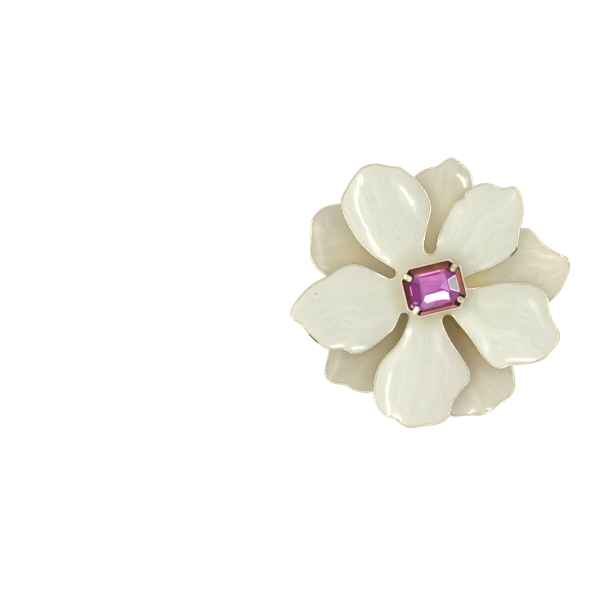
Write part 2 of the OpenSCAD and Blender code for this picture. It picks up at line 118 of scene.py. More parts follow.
BACK_SIDES = [
    [(7.5, 4.0, 4.2), (10, 5.4, 5.8), (12.5, 6.2, 7.2), (15, 6.5, 8.0), (18, 5.9, 8.0)],
    [(7.5, 4.0, 4.0), (10, 5.3, 5.4), (12.5, 5.9, 6.3), (15, 5.8, 6.6), (18.2, 4.5, 6.0)],
    [(7.5, 4.0, 4.2), (10, 5.2, 5.8), (12.5, 5.9, 7.0), (15, 5.9, 7.5), (18.5, 5.2, 7.2)],
    [(7.5, 4.2, 3.8), (10, 5.8, 5.0), (12.5, 7.0, 5.6), (15, 7.5, 5.6), (18.4, 7.0, 4.5)],
    [(7.5, 4.0, 4.4), (10, 5.6, 6.2), (12.5, 6.6, 7.6), (15, 7.0, 8.3), (18.7, 6.2, 8.2)],
]

# End of each petal from its right shoulder to its left one: distance out, reach to the left
FRONT_ENDS = [
    [(18.4, -6.7), (21.2, -5.2), (23.0, -3.6), (23.6, -2.0), (24.2, 0.0), (23.7, 1.6), (21.9, 3.0),
     (20.5, 4.6), (19.8, 6.0), (18.6, 7.0)],
    [(20.2, -3.4), (21.9, -1.6), (22.8, 0.2), (22.3, 1.3), (21.0, 2.3), (20.4, 3.9), (19.4, 5.2)],
    [(20.3, -5.8), (21.5, -4.0), (22.8, -2.4), (23.4, 0.0), (22.5, 2.5), (21.6, 4.0), (20.7, 5.4)],
    [(20.6, -3.9), (22.6, -2.4), (23.9, -0.9), (23.9, 0.5), (22.5, 1.9), (21.7, 3.6), (20.4, 5.5)],
    [(22.7, -4.7), (23.1, -2.9), (24.0, -1.4), (24.2, 0.2), (23.6, 2.0), (23.2, 4.0), (22.3, 5.6)],
]
BACK_ENDS = [
    [(20.7, -7.0), (23.0, -5.0), (24.6, -2.4), (24.4, -0.9), (22.9, 0.5), (21.3, 2.1), (20.5, 3.8),
     (19.2, 5.6)],
    [(20.1, -5.4), (21.4, -4.1), (22.6, -1.9), (21.9, -0.6), (20.8, 0.6), (20.3, 2.1), (19.4, 3.5)],
    [(21.2, -5.6), (22.4, -4.1), (22.9, -2.3), (22.6, -0.8), (21.7, 1.0), (20.8, 3.2), (20.0, 4.3)],
    [(20.5, -3.1), (22.6, -1.7), (23.5, -0.3), (22.9, 1.3), (21.8, 2.6), (21.4, 4.0), (20.2, 5.9)],
    [(21.3, -7.1), (22.4, -5.0), (23.7, -2.5), (23.9, -1.0), (23.5, 1.0), (23.3, 3.1), (22.4, 4.7),
     (20.6, 5.6)],
]

# A layer: its petals, their sides, their ends and the height of its underside
FRONT = (FRONT_PETALS, FRONT_SIDES, FRONT_ENDS, LAYER_GAP)
BACK = (BACK_PETALS, BACK_SIDES, BACK_ENDS, 0.0)

# Enamel of each petal: how light it is, a painted shade of the whole petal, how well its
# clockwise side and the other one mirror, and from where out, how its streaks wave, how much
# painted shade darkens its foot and how far out the foot reaches, and how pink it is
LOOK_NAMES = ("shade", "right", "left", "mirror_from", "wave", "foot_shade", "foot_to", "pink")
FRONT_LOOKS = [
    (0.975, 0.6, 0.1, 14.0, 0.9, 0.0, 8.0, 0.0),
    (0.95, 0.1, 0.1, 0.0, 0.5, 0.0, 8.0, 0.05),
    (0.965, 1.0, 1.0, 0.0, 0.15, 0.0, 8.0, 0.05),
    (0.93, 0.2, 0.9, 13.0, 0.4, 0.0, 8.0, 0.05),
    (0.965, 1.0, 0.0, 0.0, 0.2, 0.0, 8.0, 0.2),
]
BACK_LOOKS = [
    (1.0, 0.15, 0.15, 0.0, 0.6, 0.0, 14.0, 0.05),
    (0.83, 1.0, 1.0, 0.0, 0.4, 0.0, 20.0, 0.0),
    (0.72, 0.1, 0.15, 0.0, 0.8, 0.14, 22.5, 0.0),
    (0.69, 0.15, 0.15, 0.0, 0.6, 0.42, 23.0, 0.0),
    (0.855, 0.9, 0.4, 0.0, 0.6, 0.9, 22.0, 0.0),
]

# Colours of each layer's enamel, 0 to 255: body, light streaks, veins, margin and foot; the back
# layer's foot is a painted light, lighter and yellower by the hub where the front layer shades it
FRONT_COLOURS = [(200, 204, 182), (216, 219, 202), (180, 188, 166), (214, 208, 192), (204, 200, 172)]
BACK_COLOURS = [(203, 198, 167), (221, 218, 199), (184, 178, 140), (217, 210, 188), (255, 240, 190)]
# Radius at which each layer's foot has its full colour
FRONT_FOOT = 5.5
BACK_FOOT = 8.0
# Specks in the front enamel: x, y, radius and strength of each
FRONT_SPECKS = [
    (-19.16, -1.16, 0.28, 0.75), (-10.6, -3.94, 0.26, 0.5), (-11.35, -4.0, 0.22, 0.25),
    (-19.7, -2.25, 0.36, 0.2),
]
# Hazy places in it: x, y and radius of each, and the share of the radius that mirrors nothing
FRONT_HAZES = [(-6.2, -12.0, 3.2)]
HAZE_FULL = 0.6
# Tarnish along a layer's rim: x and y where it starts and where it ends
FRONT_TARNISH = [(14.3, 5.45, 15.3, 6.5), (-20.4, -8.3, -19.1, -9.6)]
BACK_TARNISH = [(23.75, 3.1, 23.75, 2.95)]
TARNISH_REACH = 0.35

# Fineness: length of a step along an outline, steps between two points of a curve, in a notch's
# quarter arc, round a corner and between two points of a claw, sides of the boss and of a claw
OUTLINE_STEP = 0.2
CURVE_STEPS = 16
ARC_STEPS = 10
CORNER_STEPS = 3
CLAW_STEPS = 4
BOSS_SIDES = 72
CLAW_SIDES = 24
# Width over which kinks are rounded, and the steps that this takes in on each side
KINK_ROUND = 0.25
KINK_STEPS = 6
# Enamel: gap to the rim, width of its swell, rings of points beside the rim, from where every
# other point is left out, and the share of its inset that a point's distance has to pass
ENAMEL_GAP = 0.015
SWELL_W = 3.0
NEAR_RIM = (0.04, 0.1, 0.18, 0.28, 0.4, 0.55, 0.72)
THIN_FROM = 0.25
RING_TRUE = 0.97
# Grids of points on the enamel, on what is hidden and under the metal: step, gap to the outline
TOP_GRID = (0.32, RIM_W + NEAR_RIM[-1] + 0.22)
HIDDEN_GRID = (1.0, 1.0)
UNDER_GRID = (0.6, 0.7)
# Half width of the grids, and how much wider they leave a hole for each unit of their step
HALF_SPAN = 25.5
HOLE_CLEAR = 0.3
# Where the soft distance starts to take over from the true one, and over what run
SOFT_FROM = 0.3
SOFT_RUN = 0.6
# Points whose distances are worked out at a time, and the least square of one
BATCH = 2000
LEAST_SQUARE = 1e-4
# How near two points or two facets' corners are that become one, and twice the least area
SAME_POINT = 1e-7
SAME_CORNER = 1e-5
LEAST_AREA = 1e-9


def mount(name):
    """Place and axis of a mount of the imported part, in metres, and its sizes."""
    found = next(m for m in frame["record"]["mounts"] if m["name"] == name)
    return Vector(found["pos_m"]), Vector(found["axis"]).normalized(), found["dims"]


def flower_axes():
    """The matrix from the flower's axes to the frame, which is in metres."""
    post_middle, back, dims = mount("ear_post")
    hub = post_middle - back * (PAD_T + dims["length_mm"] / 2) * MM
    lobe_face = mount("lobe_face")[0]
    right = (lobe_face - hub - back * PAD_T * MM).normalized()
    right = (right - back * right.dot(back)).normalized()
    towards = -back
    up = towards.cross(right)
    axes = Matrix((right, up, towards)).transposed().to_4x4()
    return Matrix.Translation(hub) @ axes @ Matrix.Scale(MM, 4)


FLOWER = flower_axes()
FLOWER_TURN = FLOWER.to_3x3().normalized().to_4x4()


def placed(name, data):
    thing = bpy.data.objects.new(name, data)
    bpy.context.scene.collection.objects.link(thing)
    return thing


def direction(bearing):
    """Unit vector at a bearing in degrees, counter-clockwise from the right."""
    a = math.radians(bearing)
    return np.array([math.cos(a), math.sin(a)])


def left_of(v):
    """Each vector turned a quarter counter-clockwise."""
    return np.stack([-v[..., 1], v[..., 0]], -1)


def unit(v):
    """Each vector made 1 long."""
    return v / np.linalg.norm(v, axis=-1, keepdims=True)


def run_along(points):
    """Distance run along a line at each of its points."""
    return np.concatenate([[0], np.cumsum(np.linalg.norm(np.diff(points, axis=0), axis=1))])


def ramp(t):
    """0 to 1 as t goes, smooth at both ends."""
    t = np.clip(t, 0, 1)
    return t * t * (3 - 2 * t)


def smooth_line(points, steps=CURVE_STEPS):
    """A smooth curve through points."""
    p = np.vstack([points[:1], points, points[-1:]])
    t = (np.arange(steps) / steps)[:, None]
    spans = [
        b + t * (c - a) / 2 + t**2 * (2 * a - 5 * b + 4 * c - d) / 2
        + t**3 * (3 * b - a - 3 * c + d) / 2
        for a, b, c, d in zip(p, p[1:], p[2:], p[3:])
    ]
    return np.vstack(spans + [points[-1:]])


def notch_arc(row, side):
    """Foot of a notch, from its middle to its left (side 1) or its right (-1)."""
    ahead = direction(row[NOTCH_BEARING])
    aside = side * left_of(ahead)
    middle = (row[NOTCH_R] + row[NOTCH_HALF]) * ahead
    a = np.linspace(0, math.pi / 2, ARC_STEPS + 1)[:, None]
    return middle + row[NOTCH_HALF] * (np.sin(a) * aside - np.cos(a) * ahead)


class Outline:
    """Closed outline of a layer: its points, the inward direction at each, and its petal."""

    def __init__(self, layer):
        petals, sides, ends, self.base = layer
        self.petals = petals
        parts, owners = [], []
        for n, row in enumerate(petals):
            following = petals[(n + 1) % len(petals)]
            ahead = direction(row[BEARING])
            aside = left_of(ahead)
            right, left = notch_arc(row, 1), notch_arc(following, -1)[::-1]
            table = ([(out, -to_right) for out, _, to_right in sides[n]] + ends[n]
                     + [(out, to_left) for out, to_left, _ in sides[n][::-1]])
            middle = [out * ahead + across * aside for out, across in table]
            line = smooth_line(np.array([right[-1], *middle, left[0]]))
            edge = np.vstack([right[:-1], line, left[1:-1]])
            parts.append(edge)
            owners += [n] * len(edge)
        self.points, self.owner = self.evened(np.vstack(parts), np.array(owners))
        ahead = np.roll(self.points, -1, 0) - np.roll(self.points, 1, 0)
        self.inward = left_of(unit(ahead))

    @staticmethod
    def evened(loop, owners):
        """The loop with points at even distances and its kinks rounded."""
        closed = np.vstack([loop, loop[:1]])
        run = run_along(closed)
        count = round(run[-1] / OUTLINE_STEP)
        at = np.arange(count) * run[-1] / count
        points = np.stack([np.interp(at, run, closed[:, k]) for k in (0, 1)], 1)
        reach = np.arange(-KINK_STEPS, KINK_STEPS + 1)
        weights = np.exp(-((reach * OUTLINE_STEP / KINK_ROUND) ** 2) / 2)
        rounded = sum(w * np.roll(points, -k, 0) for k, w in zip(reach, weights / weights.sum()))
        return rounded, owners[np.searchsorted(run, at, side="right") - 1]

    def inset(self, distance):
        return self.points + distance * self.inward

    def petal_at(self, points):
        """The petal that each point belongs to, or -1 outside the outline."""
        found = np.full(len(points), -1)
        for n in range(len(self.petals)):
            mine = np.flatnonzero(self.owner == n)
            following = self.points[(mine[-1] + 1) % len(self.points)]
            polygon = np.vstack([self.points[mine], following, [[0, 0]]])
            found[inside(points, polygon)] = n
        return found

    def distances(self, points):
        """True distance of each point to the outline, and a soft one that blends near edges."""
        true, soft = np.zeros(len(points)), np.zeros(len(points))
        for k in range(0, len(points), BATCH):
            apart = points[k:k + BATCH, None] - self.points[None]
            square = np.maximum((apart ** 2).sum(-1), LEAST_SQUARE)
            true[k:k + BATCH] = np.sqrt(square.min(1))
            # A long straight edge at distance d adds up to 1 / d ** 5
            total = (OUTLINE_STEP / square ** 3).sum(1) / (3 * math.pi / 8)
            soft[k:k + BATCH] = total ** -0.2
        return true, soft

    def local(self, points, owner):
        """Distance out along its petal and across it, for each point."""
        ahead = np.array([direction(row[BEARING]) for row in self.petals])[owner]
        return (points * ahead).sum(1), (points * left_of(ahead)).sum(1)

    def underside(self, points, owner):
        """Height of the metal's underside at each point."""
        out, across = self.local(points, owner)
        row = np.array(self.petals)[owner]
        over = np.maximum(0, out - DROP_FROM) / DROP_RUN
        return (self.base + row[:, RISE] * ramp((out - HUB_R) / RISE_RUN)
                - row[:, DROP] * over ** 2
                - row[:, CROWN] * ramp((out - HUB_R) / CROWN_RUN) * (across / CROWN_HALF) ** 2
                + row[:, WAVE] * over ** 1.5 * np.cos(2 * math.pi * across / WAVE_W))


def inside(points, polygon):
    """Which points lie inside a closed polygon."""
    found = np.zeros(len(points), bool)
    x, y = points[:, 0], points[:, 1]
    for (ax, ay), (bx, by) in zip(polygon, np.roll(polygon, -1, 0)):
        if ay != by:
            crossed = (ay > y) != (by > y)
            found ^= crossed & (x < (bx - ax) * (y - ay) / (by - ay) + ax)
    return found


class Shell:
    """A mesh in the flower's axes, built from loops of points, strips and filled areas."""

    def __init__(self):
        self.points, self.faces, self.slots, self.values = [], [], [], {}
        self.count = 0

    def add(self, points, **values):
        """Adds points, with a value of each named attribute, and returns their numbers."""
        points = np.asarray(points, float)
        for name, value in values.items():
            self.values.setdefault(name, {})[self.count] = np.asarray(value, float)
        self.points.append(points)
        self.count += len(points)
        return np.arange(self.count - len(points), self.count)

    def face(self, numbers, slot=0):
        self.faces.append(tuple(int(k) for k in numbers))
        self.slots.append(slot)

    def strip(self, a, b, slot=0):
        """Quads between closed rows, facing out if they run counter-clockwise and a is lower."""
        for k in range(len(a)):
            m = (k + 1) % len(a)
            self.face((a[k], a[m], b[m], b[k]), slot)

    def strips(self, rows, slot=0):
        for a, b in zip(rows, rows[1:]):
            self.strip(a, b, slot)

    def fill(self, triangles, numbers, upwards=True):
        for t in triangles:
            order = t if upwards else t[::-1]
            self.face([numbers[k] for k in order])

    def build(self, name, materials, smooth=True, sharp_angle=None):
        """The mesh as an object of the frame, riding on the part."""
        mesh = bpy.data.meshes.new(name)
        mesh.from_pydata(np.vstack(self.points).tolist(), [], self.faces)
        for value_name, groups in self.values.items():
            wide = next(iter(groups.values())).ndim == 2
            kind, field = ("FLOAT_VECTOR", "vector") if wide else ("FLOAT", "value")
            data = np.zeros((self.count, 3) if wide else self.count, np.float32)
            for start, value in groups.items():
                data[start:start + len(value)] = value
            mesh.attributes.new(value_name, kind, "POINT").data.foreach_set(field, data.ravel())
        for material in materials:
            mesh.materials.append(material)
        mesh.polygons.foreach_set("material_index", self.slots)
        mesh.polygons.foreach_set("use_smooth", [smooth] * len(self.faces))
        mesh.transform(FLOWER)
        mesh.update()
        if sharp_angle is not None:
            mesh.set_sharp_from_angle(angle=math.radians(sharp_angle))
        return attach(placed(name, mesh), "root")


def laid_out(points, loops, same):
    """Triangles through points, the first of which are closed loops that stay edges."""
    edges, start = [], 0
    for loop in loops:
        edges += [(start + k, start + (k + 1) % len(loop)) for k in range(len(loop))]
        start += len(loop)
    return delaunay_2d_cdt([Vector(p) for p in points], edges, [], 0, same, True)


def triangulated(loops, scattered):
    """Triangles between the first loop and its holes, through the scattered points too."""
    points = np.vstack([*loops, scattered])
    found = laid_out(points, loops, SAME_POINT)
    first = [sources[0] for sources in found[3]]
    triangles = np.array([[first[k] for k in t] for t in found[2]])
    a, b, c = (points[triangles[:, k]] for k in range(3))
    area = (b - a)[:, 0] * (c - a)[:, 1] - (b - a)[:, 1] * (c - a)[:, 0]
    triangles[area < 0] = triangles[area < 0][:, ::-1]
    middle = (a + b + c) / 3
    kept = inside(middle, loops[0]) & (np.abs(area) > LEAST_AREA)
    for hole in loops[1:]:
        kept &= ~inside(middle, hole)
    return triangles[kept].tolist()


def grid_points(step):
    """Points of a triangular grid over the whole flower."""
    rows = np.arange(-HALF_SPAN, HALF_SPAN, step * math.sqrt(3) / 2)
    columns = np.arange(-HALF_SPAN, HALF_SPAN, step)
    x = columns[None] + (np.arange(len(rows)) % 2)[:, None] * step / 2
    return np.stack([x.ravel(), np.repeat(rows, len(columns))], 1)


def octagon(length, width, cut, rounding=0.0):
    """Octagon of that size round the origin, counter-clockwise, with rounded corners."""
    x, y = length / 2, width / 2
    half = np.array([(x, cut - y), (x, y - cut), (x - cut, y), (cut - x, y)])
    corners = np.vstack([half, -half])
    if not rounding:
        return corners
    t = (np.arange(CORNER_STEPS + 1) / CORNER_STEPS)[:, None]
    loop = []
    for k in range(len(corners)):
        before, here, after = corners[k - 1], corners[k], corners[(k + 1) % len(corners)]
        a, b = here + rounding * unit(before - here), here + rounding * unit(after - here)
        loop.append(a * (1 - t) ** 2 + 2 * here * t * (1 - t) + b * t ** 2)
    return np.vstack(loop)


def at_stone(points):
    """Moves points from the stone's own axes to the flower's."""
    ahead = direction(STONE_BEARING)
    points = np.asarray(points, float)
    moved = points[..., :1] * ahead + points[..., 1:2] * left_of(ahead) + np.array(STONE_AT)
    return np.concatenate([moved, points[..., 2:]], -1)


def raised(loop, z):
    """Points of the plane at a height, one for all or one for each."""
    return np.column_stack([loop, np.broadcast_to(z, len(loop))])


def scattered_points(outline, hole, step, margin):
    """Grid points inside the outline and outside the hole, with their petals."""
    grid = grid_points(step)
    grid = grid[~inside(grid, hole * (1 + HOLE_CLEAR * step))]
    owner = outline.petal_at(grid)
    grid, owner = grid[owner >= 0], owner[owner >= 0]
    kept = outline.distances(grid)[0] > margin
    return grid[kept], owner[kept]


def nearest_petal(outline, points):
    """The petal of each point near the hub, by its bearing."""
    bearing = np.degrees(np.arctan2(points[:, 1], points[:, 0]))
    starts = np.array([row[NOTCH_BEARING] for row in outline.petals])
    return ((bearing[:, None] - starts[None]) % 360).argmin(1)


def enamel_height(outline, points, true):
    """Height of the enamel's surface above the underside, and the points' soft distance."""
    soft = outline.distances(points)[1]
    near = ramp((true - SOFT_FROM) / SOFT_RUN)
    depth = np.maximum(true * (1 - near) + soft * near - RIM_W, 0)
    t = np.clip(depth / SWELL_W, 0, 1)
    return ENAMEL_EDGE + ENAMEL_SWELL * t * (2 - t), depth


def enamel_points(outline, hole):
    """Points of the enamel's top, with their petals and their distances to the outline."""
    edge = RIM_W + ENAMEL_GAP
    rows = [(outline.inset(edge), outline.owner, np.full(len(outline.owner), edge)),
            (hole, nearest_petal(outline, hole), outline.distances(hole)[0])]
    for step in NEAR_RIM:
        ring = outline.inset(RIM_W + step)
        kept = outline.distances(ring)[0] > (RIM_W + step) * RING_TRUE
        kept[::2] &= step < THIN_FROM
        rows.append((ring[kept], outline.owner[kept], np.full(kept.sum(), RIM_W + step)))
    grid, owner = scattered_points(outline, hole, *TOP_GRID)
    rows.append((grid, owner, outline.distances(grid)[0]))
    return [np.concatenate(column) for column in zip(*rows)]


def make_enamel(name, outline, hole, material):
    """The enamel of a layer: one glossy skin from rim to rim, closed underneath."""
    shell = Shell()
    flat, owner, true = enamel_points(outline, hole)
    height, depth = enamel_height(outline, flat, true)
    out, across = outline.local(flat, owner)
    petal, place = np.column_stack([out, across, owner]), np.column_stack([flat, depth])
    top = raised(flat, outline.underside(flat, owner) + height)
    top = shell.add(top, petal=petal, place=place)
    edge = len(outline.points)
    both = edge + len(hole)
    loops = [flat[:edge], hole]
    shell.fill(triangulated(loops, flat[both:]), top)
    grid, grid_owner = scattered_points(outline, hole, *HIDDEN_GRID)
    flat = np.vstack([flat[:both], grid])
    owner = np.concatenate([owner[:both], grid_owner])
    low = shell.add(raised(flat, outline.underside(flat, owner) + ENAMEL_LOW))
    shell.fill(triangulated(loops, grid), low, upwards=False)
    shell.strip(low[:edge], top[:edge])
    shell.strip(top[edge:both], low[edge:both])
    return shell.build(name, [material], sharp_angle=60)


# Section of the metal's edge, from the underside round the rim to the tray: inset, height above
# the underside, and how dark the metal is painted there, a painted shade that is darkest on the
# rim's outer wall, where it draws the edge's shadowed line
RIM_SECTION = [
    (0.10, 0.0, 0.3), (0.03, 0.03, 0.8), (0.0, 0.1, 1.0), (0.0, RIM_H - 0.14, 1.0),
    (0.03, RIM_H - 0.06, 1.0), (0.07, RIM_H - 0.02, 0.9), (0.11, RIM_H - 0.005, 0.5),
    (0.17, RIM_H, 0.0), (0.23, RIM_H - 0.01, 0.0), (0.28, RIM_H - 0.04, 0.0),
    (RIM_W, RIM_H - 0.10, 0.0), (RIM_W, FLOOR_T, 0.5),
]


def near_lines(points, lines, reach):
    """1 on the lines, falling to 0 at the reach from them."""
    near = np.zeros(len(points))
    for ax, ay, bx, by in lines:
        start, along = np.array([ax, ay]), np.array([bx - ax, by - ay])
        share = np.clip(((points - start) @ along) / (along @ along), 0, 1)
        apart = np.linalg.norm(points - start - share[:, None] * along, axis=1)
        near = np.maximum(near, ramp(2 - 2 * apart / reach))
    return near


def make_metal(name, outline, boss, boss_z, tarnish, material):
    """The metal of a layer: a tray with a rounded rim, and a boss in its middle."""
    shell = Shell()
    base = outline.underside(outline.points, outline.owner)
    stained = near_lines(outline.points, tarnish, TARNISH_REACH)
    rows = []
    # Rings of the section, each with its painted shade and its tarnish
    for inset, height, dull in RIM_SECTION:
        ring = raised(outline.inset(inset), base + height)
        stain = stained * ramp((RIM_W - inset) / (RIM_W / 2)) * height / RIM_H
        rows.append(shell.add(ring, dull=np.full(len(ring), dull), stain=stain))
    shell.strips(rows)
    no_hole = np.zeros((1, 2))
    grid, owner = scattered_points(outline, no_hole, *UNDER_GRID)
    under = shell.add(raised(grid, outline.underside(grid, owner)))
    ring = outline.inset(RIM_SECTION[0][0])
    shell.fill(triangulated([ring], grid), np.concatenate([rows[0], under]), upwards=False)
    grid, owner = scattered_points(outline, boss, *HIDDEN_GRID)
    tray = shell.add(raised(grid, outline.underside(grid, owner) + FLOOR_T))
    low = shell.add(raised(boss, outline.base + FLOOR_T))
    high = shell.add(raised(boss, boss_z))
    ring = outline.inset(RIM_SECTION[-1][0])
    shell.fill(triangulated([ring, boss], grid), np.concatenate([rows[-1], low, tray]))
    shell.strip(low, high)
    shell.face(high)
    return shell.build(name, [material], sharp_angle=40)


# The stone's girdle: length, width, cut corner. Its levels: height, then the same
GIRDLE = (STONE_L, STONE_W, STONE_CUT)
STONE_CROWN = [(GIRDLE_TOP, *GIRDLE), (GIRDLE_TOP + 0.66, 8.3, 6.4, 1.65), (TABLE_Z, 5.3, 4.4, 1.3)]
STONE_PAVILION = [(KEEL_Z, 2.6, 0.1, 0.03), (KEEL_Z + 1.08, 6.0, 4.4, 1.1), (GIRDLE_LOW, *GIRDLE)]

# A claw: width, thickness, length of its rounded end for each millimetre of width, and height of
# its middle line over the crown
CLAW_W = 1.05
CLAW_T = 0.38
CLAW_END = 0.5
CLAW_LIFT = 0.22
# Where it climbs past the girdle: distance out from the stone's cut corner, and height
CLAW_CLIMB = [(0.15, GIRDLE_LOW - 1.2), (0.2, GIRDLE_LOW - 0.5), (0.21, GIRDLE_LOW),
              (0.2, GIRDLE_TOP), (0.1, GIRDLE_TOP + 0.24)]
# Where it lies on the crown: from how far in, how far short of its reach, in how many points
CLAW_FROM = 0.15
CLAW_SHORT = 0.2
CLAW_POINTS = 5
# Powers that square its section across and through, share of its width and thickness left at
# the tip, and how much painted shade darkens its edges
CLAW_SQUARE = (0.75, 0.9)
CLAW_TIP_W = 0.12
CLAW_TIP_T = 0.35
CLAW_EDGE_SHADE = 0.5
# Claws: corner of the stone that each holds, reach in over it, place counter-clockwise along the
# cut corner, and how much darker its plating is
CLAWS = [
    ((1, 1), 1.45, -0.3, 0.45), ((-1, 1), 1.5, 0.15, 0.2), ((-1, -1), 1.35, 0.05, 0.15),
    ((1, -1), 1.2, 0.0, 0.25),
]


def corner_reach(length, width, cut):
    """Distance from the middle of an octagon to its cut corners."""
    return ((length + width) / 2 - cut) / math.sqrt(2)


def claw_path(reach):
    """Middle line of a claw at a cut corner of the stone: distance out, and height."""
    inward = [corner_reach(*GIRDLE) - corner_reach(*size) for _, *size in STONE_CROWN]
    heights = [level[0] for level in STONE_CROWN]
    over = np.linspace(CLAW_FROM, reach - CLAW_SHORT, CLAW_POINTS)
    top = np.interp(over, inward, heights) + CLAW_LIFT
    return smooth_line(np.array(CLAW_CLIMB + list(zip(-over, top))), CLAW_STEPS)


def add_claw(shell, corner, reach, slide, plating_darkness):
    """One claw: a rounded bar bent over the crown at a cut corner, with a rounded end."""
    line = claw_path(reach)
    side = -left_of(unit(np.gradient(line, axis=0)))
    run = run_along(line)
    left = np.minimum((run[-1] - run) / (CLAW_W * CLAW_END), 1)
    taper = np.maximum(np.sqrt(1 - (1 - left) ** 2), CLAW_TIP_W)
    angles = np.linspace(0, 2 * math.pi, CLAW_SIDES, endpoint=False)
    wide, thick = (np.sign(v) * np.abs(v) ** power
                   for v, power in zip((np.cos(angles), np.sin(angles)), CLAW_SQUARE))
    outward = unit(np.array(corner))
    across = left_of(outward)
    base = corner * (np.array([STONE_L, STONE_W]) - STONE_CUT) / 2 + across * slide
    # Darker plating, with painted shade on the claw's sides
    dull = np.minimum(plating_darkness + CLAW_EDGE_SHADE * np.abs(wide) ** 3, 1)
    rings = []
    for at, normal, scale in zip(line, side, taper):
        half_t = CLAW_T / 2 * (CLAW_TIP_T + (1 - CLAW_TIP_T) * scale)
        out = at[0] + normal[0] * thick * half_t
        flat = base + out[:, None] * outward + (wide * CLAW_W / 2 * scale)[:, None] * across
        z = at[1] + normal[1] * thick * half_t
        rings.append(shell.add(at_stone(np.column_stack([flat, z])), dull=dull))
    shell.strips(rings, 1)
    shell.face(rings[0][::-1], 1)
    shell.face(rings[-1], 1)


# The cup: how much longer and wider than the stone it is inside, and how round its corners
CUP_ROOM = 0.1
CUP_ROUND = 0.16
LIP_Z = GIRDLE_TOP - 0.03
# Its foot and its hollow under the stone: height, length, width, cut corner
CUP_FOOT = [(FOOT_Z, *FOOT), (FOOT_Z + 0.5, *FOOT)]
CUP_HOLLOW = [(KEEL_Z + 1.03, 6.1, 4.5, 1.1), (KEEL_Z - 0.05, 2.7, 0.6, 0.2)]
# Its wall, up the outside, over the lip and down again: height, how much longer and wider than
# the inside, cut corner
CUP_WALL = [
    (GIRDLE_LOW - 0.9, 0.3, 1.7), (GIRDLE_LOW - 0.5, 0.42, 1.7), (LIP_Z - 0.08, 0.44, 1.7),
    (LIP_Z - 0.02, 0.38, 1.69), (LIP_Z, 0.24, 1.66), (LIP_Z - 0.02, 0.06, 1.62),
    (LIP_Z - 0.08, 0.0, STONE_CUT), (GIRDLE_LOW - 0.05, 0.0, STONE_CUT),
]


def add_levels(shell, levels, rounding=0.0):
    """An octagon at each level of the setting or the stone."""
    return [shell.add(at_stone(raised(octagon(*size, rounding), z))) for z, *size in levels]


def make_setting(cup_material, claw_material):
    """The cup with its thin lip, and the four claws."""
    shell = Shell()
    length, width = STONE_L + CUP_ROOM, STONE_W + CUP_ROOM
    wall = [(z, length + wider, width + wider, cut) for z, wider, cut in CUP_WALL]
    rings = add_levels(shell, CUP_FOOT + wall + CUP_HOLLOW, CUP_ROUND)
    shell.strips(rings)
    shell.face(rings[0][::-1])
    shell.face(rings[-1])
    for claw in CLAWS:
        add_claw(shell, *claw)
    return shell.build("claw_setting", [cup_material, claw_material], sharp_angle=35)


def linear(*colour):
    """A colour as a screen shows it, 0 to 255, in the renderer's own values."""
    shares = [c / 255 for c in colour]
    return (*(c / 12.92 if c <= 0.04045 else ((c + 0.055) / 1.055) ** 2.4 for c in shares), 1.0)


